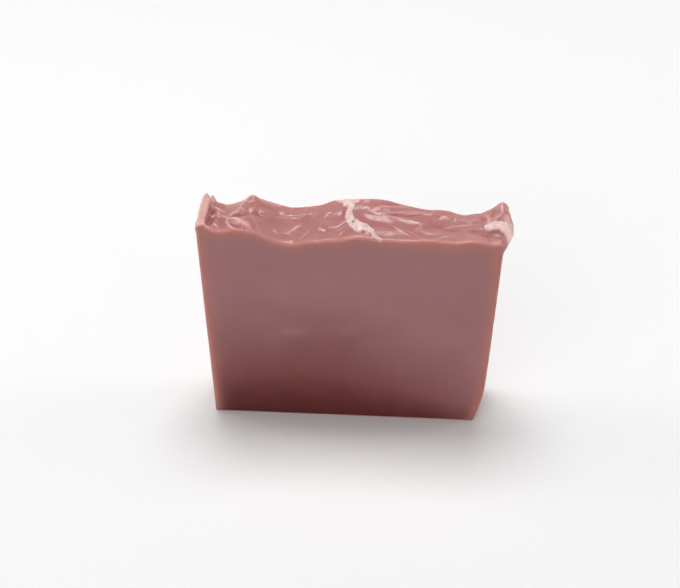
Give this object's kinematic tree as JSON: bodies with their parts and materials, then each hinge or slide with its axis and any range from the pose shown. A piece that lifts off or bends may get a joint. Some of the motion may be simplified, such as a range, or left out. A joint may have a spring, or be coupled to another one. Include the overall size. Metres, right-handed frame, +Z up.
{
  "type": "bar of handmade soap",
  "caption": "Cut slice of poured handmade soap with flat faces and a wrinkled, wavy top that curls up at both ends.",
  "frame": {"origin": "middle of the flat base that the bar stands on", "axes": "+X across the bar towards the curled ear, +Y through the thickness from the front cut to the back cut, +Z up to the poured top"},
  "size_m": [0.0938, 0.017, 0.0742],
  "materials": {
    "soap": "Dusty rose waxy soap: satin cut faces, duller faces where it touched the mould, and a wet-looking gloss on the wrinkled poured top."
  },
  "bodies": {
    "root": {"soap_bar": "soap"}
  },
  "joints": []
}
